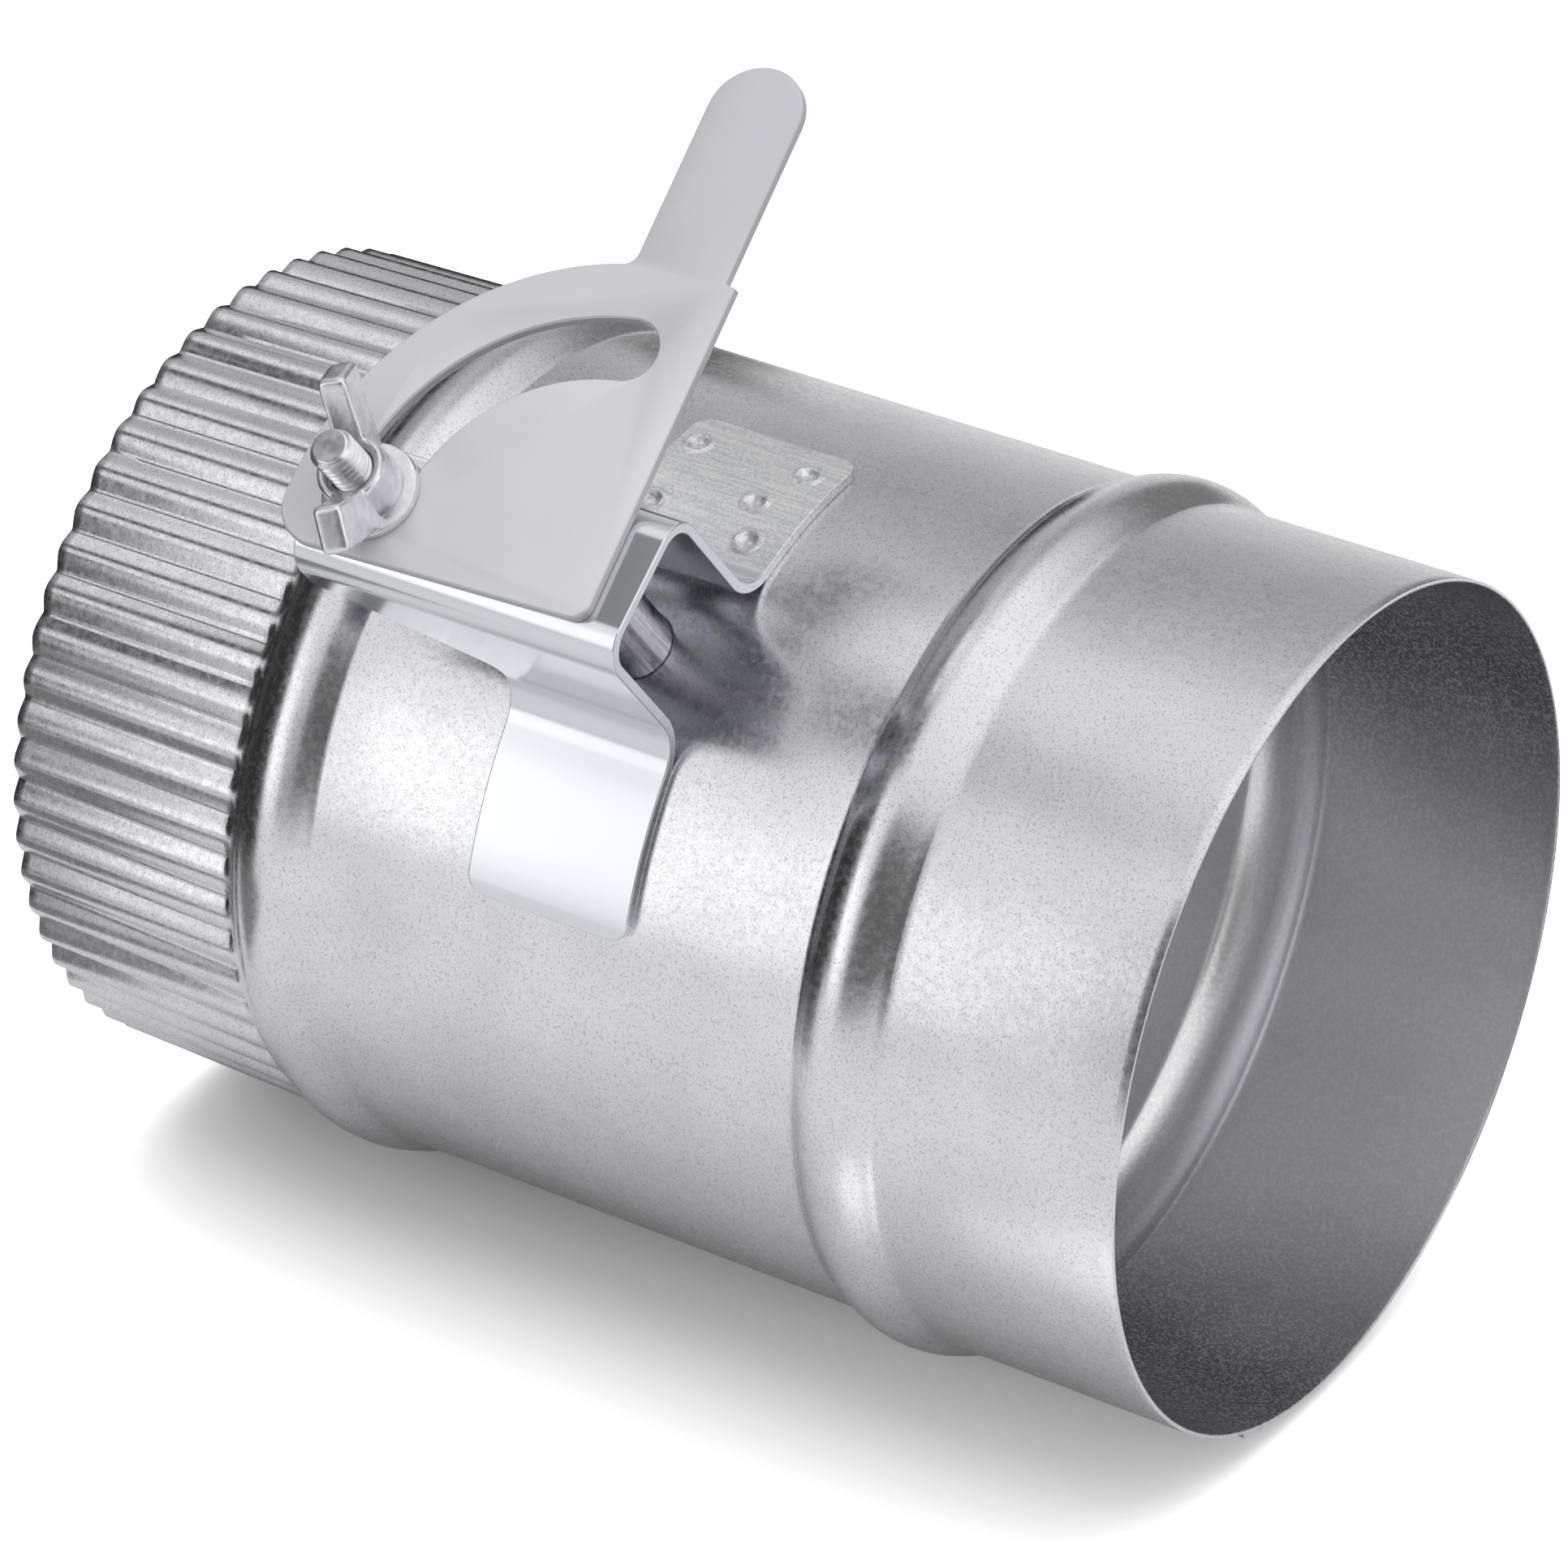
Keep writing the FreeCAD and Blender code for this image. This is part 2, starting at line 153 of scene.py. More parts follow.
# %% Helpers for finishes
class Finish:
    """A Principled material with a few short ways to add a pattern."""

    def __init__(self, name, color, metallic, roughness):
        self.material = bpy.data.materials.new(name)
        self.material.use_nodes = True
        self.nodes = self.material.node_tree.nodes
        self.links = self.material.node_tree.links
        self.shader = self.nodes["Principled BSDF"]
        self.shader.inputs["Base Color"].default_value = (*color, 1)
        self.shader.inputs["Metallic"].default_value = metallic
        self.shader.inputs["Roughness"].default_value = roughness
        self.place = self.nodes.new("ShaderNodeTexCoord").outputs["Object"]

    def join(self, source, target):
        self.links.new(source, target)

    def mapped(self, turn, scale=(1, 1, 1)):
        """Object coordinates, turned about X and then stretched."""
        turned_back = self.nodes.new("ShaderNodeMapping")
        turned_back.inputs["Rotation"].default_value = (turn, 0, 0)
        self.join(self.place, turned_back.inputs["Vector"])
        stretched = self.nodes.new("ShaderNodeVectorMath")
        stretched.operation = "MULTIPLY"
        stretched.inputs[1].default_value = scale
        self.join(turned_back.outputs["Vector"], stretched.inputs[0])
        return stretched.outputs["Vector"]

    def noise(self, scale, detail, roughness=0.5, vector=None, distortion=0.0):
        texture = self.nodes.new("ShaderNodeTexNoise")
        texture.inputs["Scale"].default_value = scale
        texture.inputs["Detail"].default_value = detail
        texture.inputs["Roughness"].default_value = roughness
        texture.inputs["Distortion"].default_value = distortion
        self.join(vector or self.place, texture.inputs["Vector"])
        return texture.outputs["Fac"]

    def ranged(self, value, low, high, to_low=0.0, to_high=1.0):
        """A number brought softly from one range into another."""
        ramp = self.nodes.new("ShaderNodeMapRange")
        ramp.interpolation_type = "SMOOTHSTEP"
        for name, number in (("From Min", low), ("From Max", high), ("To Min", to_low), ("To Max", to_high)):
            ramp.inputs[name].default_value = number
        self.join(value, ramp.inputs["Value"])
        return ramp.outputs["Result"]

    def math(self, operation, a, b):
        """One step of arithmetic, between sockets or plain numbers."""
        node = self.nodes.new("ShaderNodeMath")
        node.operation = operation
        for socket, value in zip(node.inputs, (a, b)):
            if isinstance(value, (int, float)):
                socket.default_value = value
            else:
                self.join(value, socket)
        return node.outputs["Value"]

    def mixed(self, factor, first, second):
        """A colour between two others: the first at 0, the second at 1."""
        node = self.nodes.new("ShaderNodeMix")
        node.data_type = "RGBA"
        self.join(factor, node.inputs["Factor"])
        for socket, value in ((node.inputs["A"], first), (node.inputs["B"], second)):
            if isinstance(value, tuple):
                socket.default_value = (*value, 1)
            else:
                self.join(value, socket)
        return node.outputs["Result"]

    def color(self, value):
        self.join(value, self.shader.inputs["Base Color"])

    def rough(self, value):
        self.join(value, self.shader.inputs["Roughness"])

    def bump(self, height, distance):
        """Adds a fine relief to what is already there."""
        node = self.nodes.new("ShaderNodeBump")
        node.inputs["Strength"].default_value = 1.0
        node.inputs["Distance"].default_value = distance
        self.join(height, node.inputs["Height"])
        previous = self.shader.inputs["Normal"]
        if previous.is_linked:
            self.join(previous.links[0].from_socket, node.inputs["Normal"])
        self.join(node.outputs["Normal"], previous)


# %% [markdown]
# Hot-dip galvanized duct sheet has a pale grey ground with thousands of dark specks, each about half a
# millimetre across, and slow cloudy changes in brightness. The specks are a fine noise that is cut off low, so
# that only small islands are left. A finer grain and slow clouds vary the ground between them, and a faint
# unevenness breaks up the reflections.

# %% Galvanized sheet, outside
galvanized = Finish("galvanized_sheet", (0.80, 0.80, 0.82), 1.0, 0.26)
specks = galvanized.ranged(galvanized.noise(2500, 1.0, 0.5), 0.34, 0.44, 1.0, 0.0)
grain = galvanized.ranged(galvanized.noise(4200, 1.0, 0.5), 0.35, 0.65)
clouds = galvanized.noise(75, 3, 0.5)
pale = galvanized.mixed(galvanized.ranged(clouds, 0.3, 0.7), (0.80, 0.80, 0.82), (0.86, 0.86, 0.88))
pale = galvanized.mixed(galvanized.math("MULTIPLY", grain, 0.22), pale, (0.62, 0.62, 0.645))
galvanized.color(galvanized.mixed(galvanized.math("MULTIPLY", specks, 0.5), pale, (0.40, 0.40, 0.43)))
galvanized.rough(galvanized.ranged(galvanized.noise(700, 2), 0.3, 0.7, 0.21, 0.29))
galvanized.bump(galvanized.noise(900, 2), 0.000012)
print("galvanized sheet:", len(galvanized.nodes), "nodes")

# %% [markdown]
# Inside the duct the same sheet looks darker, because little light gets in, and there the specks stand out as
# pale worm-like marks. Near the mouth, one wide soft band of the wall is painted much darker, a painted shade.
# Three masks, read from coordinates that are turned about the duct's axis, leave that band: two bound it round the
# duct and one along it.

# %% Galvanized sheet, inside
inside = Finish("galvanized_inside", (0.74, 0.74, 0.76), 0.8, 0.26)
worms = inside.ranged(inside.noise(1600, 2, 0.6, distortion=0.8), 0.46, 0.60)
wall = inside.nodes.new("ShaderNodeSeparateXYZ")
inside.join(inside.mapped(math.radians(38.0)), wall.inputs["Vector"])
off_centre = inside.ranged(wall.outputs["Y"], 0.034, 0.076, 1.0, 0.0)
lip = inside.ranged(wall.outputs["X"], -0.090, -0.050)
rear = inside.ranged(wall.outputs["Y"], -0.040, -0.010)
# painted shade: the wall near the mouth is darkened where the three masks overlap
painted_mouth_shade = inside.math("MULTIPLY", off_centre, inside.math("MULTIPLY", lip, rear))
ground = inside.mixed(painted_mouth_shade, (0.90, 0.90, 0.92), (0.20, 0.20, 0.22))
fleck = inside.mixed(painted_mouth_shade, (1.0, 1.0, 1.0), (0.55, 0.55, 0.57))
inside.color(inside.mixed(worms, ground, fleck))
inside.bump(inside.noise(900, 2), 0.00003)
print("inside sheet:", len(inside.nodes), "nodes")

# %% [markdown]
# The bracket is smoother and brighter plate, with a soft mirror. Its upper foot was brushed before welding, so
# fine lines run along the duct there. The lines are a noise that is stretched along X, and a mask on the
# turned coordinates keeps them on that foot.

# %% Bracket plate
plate = Finish("bracket_plate", (0.84, 0.85, 0.88), 0.8, 0.16)
upright = plate.nodes.new("ShaderNodeSeparateXYZ")
plate.join(plate.mapped(-AXLE_TILT), upright.inputs["Vector"])
on_foot = plate.ranged(upright.outputs["Y"], 0.0185, 0.0200)
low_down = plate.ranged(upright.outputs["Z"], 0.0830, 0.0810)
brushed = plate.math("MULTIPLY", on_foot, low_down)
strokes = plate.noise(1, 3, 0.6, plate.mapped(-AXLE_TILT, (90, 1800, 1800)))
grains = plate.noise(1900, 2, 0.6)
texture = plate.math("MULTIPLY", plate.math("ADD", strokes, grains), 0.5)
marks = plate.mixed(plate.ranged(texture, 0.38, 0.62), (0.72, 0.73, 0.76), (1.0, 1.0, 1.0))
plate.color(plate.mixed(brushed, (0.84, 0.85, 0.88), marks))
plate.rough(plate.ranged(brushed, 0.0, 1.0, 0.16, 0.34))
plate.bump(plate.math("MULTIPLY", texture, brushed), 0.00012)
plate.bump(plate.noise(40, 1), 0.00002)
print("bracket plate:", len(plate.nodes), "nodes")

# %% [markdown]
# The lever is satin plate with a soft violet tone and slow clouds in it, and along the handle a painted shade
# makes it a little darker. The hardware is bright zinc: small cast ripples catch the light. The axle is drawn bar,
# with streaks along it. The blade is the duct's kind of sheet, duller, with fewer specks.

# %% Lever, hardware, axle and blade
satin = Finish("lever_satin", (0.86, 0.85, 0.88), 0.15, 0.30)
reach = satin.nodes.new("ShaderNodeSeparateXYZ")
satin.join(satin.mapped(-AXLE_TILT), reach.inputs["Vector"])
# painted shade: the plate's colour darkens toward the handle's end
painted_handle_shade = satin.ranged(reach.outputs["Y"], 0.015, 0.075)
cloudy = satin.ranged(satin.noise(45, 2), 0.3, 0.7)
quadrant_tone = satin.mixed(cloudy, (0.90, 0.895, 0.925), (0.94, 0.935, 0.96))
shaded_handle_tone = satin.mixed(cloudy, (0.73, 0.725, 0.76), (0.77, 0.765, 0.80))
satin.color(satin.mixed(painted_handle_shade, quadrant_tone, shaded_handle_tone))
satin.bump(satin.noise(1600, 2), 0.00001)

zinc = Finish("bright_zinc", (0.84, 0.84, 0.86), 0.85, 0.28)
zinc.color(zinc.mixed(zinc.ranged(zinc.noise(500, 3), 0.35, 0.65), (0.79, 0.79, 0.82), (0.90, 0.90, 0.92)))
zinc.rough(zinc.ranged(zinc.noise(350, 2), 0.3, 0.7, 0.22, 0.34))
zinc.bump(zinc.noise(600, 2), 0.00004)

drawn = Finish("drawn_bar", (0.66, 0.66, 0.69), 1.0, 0.3)
streaks = drawn.noise(1, 3, 0.6, drawn.mapped(-AXLE_TILT, (900, 900, 40)))
drawn.color(drawn.mixed(drawn.ranged(streaks, 0.35, 0.65), (0.45, 0.45, 0.48), (0.80, 0.80, 0.83)))
drawn.rough(drawn.ranged(drawn.noise(600, 2), 0.3, 0.7, 0.26, 0.42))

disc_sheet = Finish("blade_sheet", (0.74, 0.74, 0.77), 1.0, 0.38)
disc_specks = disc_sheet.ranged(disc_sheet.noise(1500, 2.5, 0.6), 0.34, 0.46, 1.0, 0.0)
disc_share = disc_sheet.math("MULTIPLY", disc_specks, 0.4)
disc_sheet.color(disc_sheet.mixed(disc_share, (0.74, 0.74, 0.77), (0.4, 0.4, 0.43)))
disc_sheet.bump(disc_sheet.noise(900, 2), 0.00003)
print("finishes:", ", ".join(m.name for m in bpy.data.materials))

# %% [markdown]
# The duct is one sheet, rolled round and locked in a seam, with two beads rolled into it: the damper's body
# stops against them when it is pushed into its neighbours. Its section is drawn as one closed line, both
# walls and the rolled-over rims, and spun round X. The bead is an arc whose feet are rounded off a little.

# %% The duct's section
BEADS = (-172.0, -55.0)
BEAD_HALF = 7.8
BEAD_HEIGHT = 3.0
BEAD_FOOT = 0.28  # how softly its feet meet the tube
CRIMP_START = -180.8
DUCT_END = -230.0
bead_radius = (BEAD_HALF ** 2 + BEAD_HEIGHT ** 2) / (2 * BEAD_HEIGHT)


def bead_rise(x):
    """How far the beads lift the tube's wall at one place along it."""
    rise = 0.0
    for centre in BEADS:
        across = min(abs(x - centre), bead_radius)
        arc = math.sqrt(bead_radius ** 2 - across ** 2) - bead_radius + BEAD_HEIGHT
        rise += (arc + math.hypot(arc, BEAD_FOOT)) / 2
    return rise


def spread(low, high, count):
    """Evenly spaced numbers from low up to just before high."""
    return [low + (high - low) * i / count for i in range(count)]


stations = [-229.8, -228.0] + spread(-222, -186, 4) + [-186, -183.6, -182.6, -181.8, -181.2]
for centre in BEADS:
    stations += spread(centre - 9.0, centre - 5.5, 5) + spread(centre - 5.5, centre + 5.5, 8)
    stations += spread(centre + 5.5, centre + 9.2, 5)
stations += spread(-162.5, -64.6, 7)[1:] + [-45.0, -30.0, -14.0, -2.0, -0.2]
stations.sort()
outer_line = [(x, DUCT_OUTER + bead_rise(x)) for x in stations]
inner_line = [(x, DUCT_INNER + bead_rise(x)) for x in reversed(stations)]
near_rim = [(-0.05, 76.95), (0.0, 76.8), (0.0, 76.4), (-0.05, 76.25)]
far_rim = [(-229.95, 76.25), (DUCT_END, 76.4), (DUCT_END, 76.8), (-229.95, 76.95)]
section = [(x, 0, radius) for x, radius in outer_line + near_rim + inner_line + far_rim]
print(len(section), "points in the section")

# %% [markdown]
# The crimped end is pressed by fluted rollers, which make 60 narrow valleys so that the end shrinks and slips
# into the next duct. One crimp's sector is spun in twelve steps, and the sector is then repeated round the
# duct. Each vertex is pushed in by how near it is to a valley. The valleys start at a short ramp beside the far
# bead and deepen toward the end. Real crimps aren't all alike, so each has its own depth. The seam is a step
# that stands one sheet proud, under the duct.

# %% Spin, crimp and seam the duct
CRIMPS = 60
CRIMP_DEPTH = 1.25  # of a valley where the crimps start
CRIMP_DEEPENS = 0.3  # more of it at the duct's end
CRIMP_RAMP = 1.2  # length of the ramp into the valleys
CRIMP_TAPER = 1.0  # how far the crests come in at the end
CRIMP_SPREAD = 0.10  # how unlike the crimps are
LAP_ANGLE = math.radians(-121.0)
LAP_HALF = math.radians(2.6)
LAP_STEP = 0.8
rng = random.Random(7)
crimp_share = [1 + rng.uniform(-CRIMP_SPREAD, CRIMP_SPREAD) for _ in range(CRIMPS)]


def crimp_depth(x):
    """How deep the valleys are at one place along the duct."""
    full = CRIMP_DEPTH + CRIMP_DEEPENS * (CRIMP_START - x) / (CRIMP_START - DUCT_END)
    fade = min(max((CRIMP_START - x) / CRIMP_RAMP, 0.0), 1.0)
    return full * fade * fade * (3 - 2 * fade)


def crimp(vert):
    """Pushes a vertex in: not at a crest, most in a valley, and a little more toward the duct's end."""
    x, y, z = vert.co
    turns = math.atan2(y, z) / math.tau * CRIMPS
    crest = round(turns)
    across = 2 * abs(turns - crest)
    valley = 0.55 * across ** 2 + 0.45 * (1 - math.cos(math.pi * across)) / 2  # between a V and a wave
    drop = crimp_depth(x) * crimp_share[crest % CRIMPS] * valley
    drop += CRIMP_TAPER * max(CRIMP_START - x, 0) / (CRIMP_START - DUCT_END)
    radius = math.hypot(y, z)
    vert.co.y *= (radius - drop) / radius
    vert.co.z *= (radius - drop) / radius


shell = bmesh.new()
verts, edges = open_line(shell, section)
edges.append(shell.edges.new((verts[-1], verts[0])))
bmesh.ops.spin(shell, geom=verts + edges, cent=(0, 0, 0), axis=(1, 0, 0), angle=math.tau / CRIMPS, steps=12)
sectors = 1
for copies in (2, 2, 3, 5):
    bmesh.ops.spin(shell, geom=shell.verts[:] + shell.edges[:] + shell.faces[:], cent=(0, 0, 0), axis=(1, 0, 0),
                   angle=math.tau / CRIMPS * sectors * (copies - 1), steps=copies - 1, use_duplicate=True)
    sectors *= copies
bmesh.ops.remove_doubles(shell, verts=shell.verts, dist=1e-3)
bmesh.ops.recalc_face_normals(shell, faces=shell.faces)
print(sectors, "sectors,", sum(e.is_boundary for e in shell.edges), "open edges")
for vert in shell.verts:
    radius = math.hypot(vert.co.y, vert.co.z)
    if vert.co.x < CRIMP_START:
        crimp(vert)
    elif radius > DUCT_OUTER - 0.1 and abs(math.atan2(vert.co.y, vert.co.z) - LAP_ANGLE) < LAP_HALF:
        vert.co.y *= (radius + LAP_STEP) / radius
        vert.co.z *= (radius + LAP_STEP) / radius
for face in shell.faces:
    centre = face.calc_center_median()
    toward_axis = face.normal.y * centre.y + face.normal.z * centre.z < 0
    face.material_index = 1 if toward_axis and abs(face.normal.x) < 0.95 else 0
print(len(shell.faces), "faces in the duct")

# %% [markdown]
# The axle passes through both walls. The holes are drilled with a rod that is a little wider than the axle.

# %% Drill the duct
DUCT_HOLE = 6.65


def drill(radius, reach):
    """A rod on the axle's line, to drill or punch with."""
    bm = bmesh.new()
    turned(bm, [(AXLE_X, 0, -reach), (AXLE_X + radius, 0, -reach), (AXLE_X + radius, 0, reach),
                (AXLE_X, 0, reach)], (0, 0, 1), 48, centre=(AXLE_X, 0, 0))
    return bm


shell = cut_by(shell, drill(DUCT_HOLE, 90))
as_piece(shell, "duct_shell", "duct", [galvanized.material, inside.material],
         "duct_tube", sharp=50)

# %% [markdown]
# The bracket is folded from a flat blank, so it is made here in the same way. The blank is drawn flat, with X
# along the duct and Y as the distance measured along the sheet from the middle. It is given its thickness and
# its holes, its edges are broken, and only then is it folded: every vertex is moved to where the fold takes it.
# The radii are those of the sheet's middle, which neither stretches nor shrinks in a bend.

# %% The bracket's flat blank
SHEET = 1.9
FOLD = 5.55
FLAT_HALF = 7.9  # of the web, which is flat up to its two folds
FOLD_END = FLAT_HALF + FOLD * math.pi / 2
LEG_Y = FLAT_HALF + FOLD
LEG_Z = 104.5
FOOT_FOLD = 8.95
FOOT_RADIUS = 77.95  # of a foot's curve, which lies on the duct
FOOT_REACH = math.radians(36.6)  # round the duct, from the web's middle to a foot's end
PIVOT_Y = LEG_Y + FOOT_FOLD
PIVOT_Z = math.sqrt((FOOT_RADIUS + FOOT_FOLD) ** 2 - PIVOT_Y ** 2)
PIVOT_ANGLE = math.atan2(PIVOT_Y, PIVOT_Z)
LEG_END = FOLD_END + LEG_Z - PIVOT_Z
BEND_SWEEP = math.pi / 2 - PIVOT_ANGLE
BEND_END = LEG_END + FOOT_FOLD * BEND_SWEEP
FOOT_END = BEND_END + FOOT_RADIUS * (FOOT_REACH - PIVOT_ANGLE)
LUG_X = -162.5
FEET_X = -129.9
RIGHT_X = -97.1
LUG_REAR = 9.2
FLANGE_Z = 99.6  # how far down the lug's front edge reaches
SHOULDER_Z = 86.0  # where it runs into the front leg
ROUNDINGS = (((0, 1, 6, 7), 3.5), ((2,), 2.0), ((5,), 2.67), ((3, 4), 1.0))  # corners of the outline, radius
flange = FOLD_END + LEG_Z - FLANGE_Z
shoulder = FOLD_END + LEG_Z - SHOULDER_Z
rear_s = FLAT_HALF + FOLD * math.asin((LUG_REAR - FLAT_HALF) / FOLD)
outline = [(RIGHT_X, FOOT_END), (FEET_X, FOOT_END), (FEET_X, rear_s), (LUG_X, rear_s),
           (LUG_X, -flange), (FEET_X, -shoulder), (FEET_X, -FOOT_END), (RIGHT_X, -FOOT_END)]
blank = bmesh.new()
corners = [blank.verts.new((x, s, -SHEET / 2)) for x, s in outline]
blank.faces.new(corners)
for group, offset in ROUNDINGS:
    bmesh.ops.bevel(blank, geom=[corners[i] for i in group], affect="VERTICES", offset=offset,
                    segments=6, profile=0.5, material=-1)
grown = bmesh.ops.extrude_face_region(blank, geom=list(blank.faces))["geom"]
bmesh.ops.translate(blank, vec=(0, 0, SHEET), verts=[g for g in grown if isinstance(g, bmesh.types.BMVert)])
bmesh.ops.recalc_face_normals(blank, faces=blank.faces)
print(f"flat blank {FOOT_END * 2:.1f} mm long, {RIGHT_X - LUG_X:.1f} mm wide")

# %% [markdown]
# The holes are punched, a round one for the axle and a square one for the bolt's neck. The blank's edges are
# then broken. The rounded edges meet the flats at a sharp shading border, or the flats would look like pillows.
# Last, the blank is cut into strips across each bend so that it can follow the curve, with one more cut just
# outside the bend that keeps the flat beside it flat. The upper foot is cut both ways, fine enough for dents.

# %% Punch, break the edges and cut into strips
AXLE_HOLE = 6.5
SQUARE_HOLE = 8.1
EDGE_BREAK = 0.22
BESIDE_BEND = 0.2
blank = cut_by(blank, drill(AXLE_HOLE, 3))
punch = bmesh.new()
square = Matrix.Diagonal((SQUARE_HOLE, SQUARE_HOLE, 6, 1))
bmesh.ops.create_cube(punch, size=1, matrix=Matrix.Translation((BOLT_X, 0, 0)) @ square)
blank = cut_by(blank, punch)


def is_rim(edge):
    """True for a sharp edge that lies in one of the blank's two flat sides."""
    if len(edge.link_faces) != 2 or edge.calc_face_angle() <= math.radians(50):
        return False
    first, last = (vert.co.z for vert in edge.verts)
    return abs(abs(first) - SHEET / 2) < 1e-3 and abs(first - last) < 1e-3


rims = [edge for edge in blank.edges if is_rim(edge)]
rounding = bmesh.ops.bevel(blank, geom=rims, affect="EDGES", offset=EDGE_BREAK, segments=3, profile=0.5,
                           material=-1)
broken = set(rounding["faces"])
for edge in {e for f in broken for e in f.edges}:
    edge.smooth = all(f in broken for f in edge.link_faces)


def slice_at(bm, along, places, where=None):
    """Cuts the faces at some places along X (0) or Y (1), all of them or only where a test is true."""
    for place in places:
        point = Vector((0, 0, 0))
        point[along] = place
        normal = Vector((0, 0, 0))
        normal[along] = 1
        chosen = [f for f in bm.faces if where is None or where(f.calc_center_median())]
        parts = {p for f in chosen for p in (f, *f.edges, *f.verts)}
        bmesh.ops.bisect_plane(bm, geom=list(parts), dist=1e-5, plane_co=point, plane_no=normal)


for side in (-1, 1):
    bends = spread(FLAT_HALF, FOLD_END, 16) + [FOLD_END] + spread(LEG_END, BEND_END, 14)
    bends += [FLAT_HALF - BESIDE_BEND, FOLD_END + BESIDE_BEND, LEG_END - BESIDE_BEND]
    bends += spread(BEND_END, FOOT_END - 0.4, 60 if side > 0 else 14)
    slice_at(blank, 1, [side * s for s in bends])
slice_at(blank, 0, spread(FEET_X + 0.5, RIGHT_X - 0.4, 64),
         lambda centre: centre.y > BEND_END and centre.z > SHEET / 2 - 0.05)
print(len(blank.faces), "faces in the sliced blank")

# %% [markdown]
# The upper foot is spot-welded to the duct. Each spot leaves a round dent with a low raised rim. The spots are
# given by their place along the duct and their angle round it, and pressed into the blank before it is folded.

# %% Weld marks and the fold
WELDS = ((-12.6, 30.9), (9.8, 31.1), (-12.0, 19.3), (9.2, 17.7), (5.4, 23.9))
DENT_RADIUS = 1.55
DENT_DEPTH = 0.65
RIM_RADIUS = 2.15
RIM_WIDTH = 0.42
RIM_HEIGHT = 0.42
WELD_REACH = 4
marks_at = [(AXLE_X + x, BEND_END + FOOT_RADIUS * (math.radians(a) - PIVOT_ANGLE)) for x, a in WELDS]


def weld_height(x, s):
    """How far the welds raise or sink one place of the foot."""
    height = 0.0
    for mark_x, mark_s in marks_at:
        away = math.hypot(x - mark_x, s - mark_s)
        if away < WELD_REACH:
            height += RIM_HEIGHT * math.exp(-((away - RIM_RADIUS) / RIM_WIDTH) ** 2)
            height -= DENT_DEPTH * math.exp(-(away / DENT_RADIUS) ** 4)
    return height


def folded(x, s, t):
    """Where a point of the blank goes: s along the sheet, t out from the sheet's middle."""
    side = 1 if s >= 0 else -1
    s = abs(s)
    if s <= FLAT_HALF:
        y, z = s, LEG_Z + FOLD + t
    elif s <= FOLD_END:
        turn = (s - FLAT_HALF) / FOLD
        y, z = FLAT_HALF + (FOLD + t) * math.sin(turn), LEG_Z + (FOLD + t) * math.cos(turn)
    elif s <= LEG_END:
        y, z = LEG_Y + t, LEG_Z - (s - FOLD_END)
    elif s <= BEND_END:
        turn = (s - LEG_END) / FOOT_FOLD
        y, z = PIVOT_Y - (FOOT_FOLD - t) * math.cos(turn), PIVOT_Z - (FOOT_FOLD - t) * math.sin(turn)
    else:
        turn = PIVOT_ANGLE + (s - BEND_END) / FOOT_RADIUS
        y, z = (FOOT_RADIUS + t) * math.sin(turn), (FOOT_RADIUS + t) * math.cos(turn)
    return x, side * y, z


for vert in blank.verts:
    x, s, t = vert.co
    if s > BEND_END and t > SHEET / 2 - 0.01:
        t += weld_height(x, s)
    vert.co = folded(x, s, t)
as_piece(blank, "bracket_sheet", "duct", plate.material, "bracket", sharp=60)

# %% [markdown]
# The lever is cut from flat plate, and its shape is already right in the solids, as the blade's is. A copy of
# each mesh is merged, its flat faces are joined again, and its edges are rounded so that they catch a thin line
# of light.

# %% Lever plate and blade
def rounded_copy(node, width, segments, least_angle):
    """A merged copy of a solid's mesh, upright and in millimetres, with its real edges rounded."""
    bm = bmesh.new()
    bm.from_mesh(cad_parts[node].data)
    bmesh.ops.remove_doubles(bm, verts=bm.verts, dist=1e-7)
    bmesh.ops.transform(bm, matrix=TO_PLACE.inverted(), verts=bm.verts)
    bmesh.ops.dissolve_limit(bm, angle_limit=math.radians(0.4), verts=bm.verts, edges=bm.edges)
    edges = [e for e in bm.edges if len(e.link_faces) == 2 and e.calc_face_angle() > math.radians(least_angle)]
    bmesh.ops.bevel(bm, geom=edges, affect="EDGES", offset=width, segments=segments, profile=0.5, material=-1)
    return bm


as_piece(rounded_copy("lever", 0.12, 2, 30), "lever_plate", "damper", satin.material,
         "lever", sharp=18)
as_piece(rounded_copy("blade", 0.12, 2, 40), "blade_disc", "damper", disc_sheet.material,
         "blade", sharp=40)

# %% [markdown]
# The axle is a plain drawn bar, turned on a lathe, with its ends chamfered. The rivets hold the blade to it;
# each has a low domed head on both sides.

# %% Axle and rivets
def lathe_outline(corners, soft):
    """A half outline of radius and height, with each outer corner cut by two short chamfers."""
    points = [corners[0]]
    for before, corner, after in zip(corners, corners[1:], corners[2:]):
        corner_at = Vector(corner)
        back = (Vector(before) - corner_at).normalized() * soft
        ahead = (Vector(after) - corner_at).normalized() * soft
        points += [corner_at + back, corner_at + (back + ahead) * 0.29, corner_at + ahead]
    points.append(corners[-1])
    return points


def lathed(corners, at, steps, soft, bm=None):
    """The outline spun round a line along Z, in a mesh of its own or in a given one."""
    bm = bm or bmesh.new()
    outline = [(at.x + radius, at.y, at.z + height) for radius, height in lathe_outline(corners, soft)]
    turned(bm, outline, (0, 0, 1), steps, centre=at)
    return bm


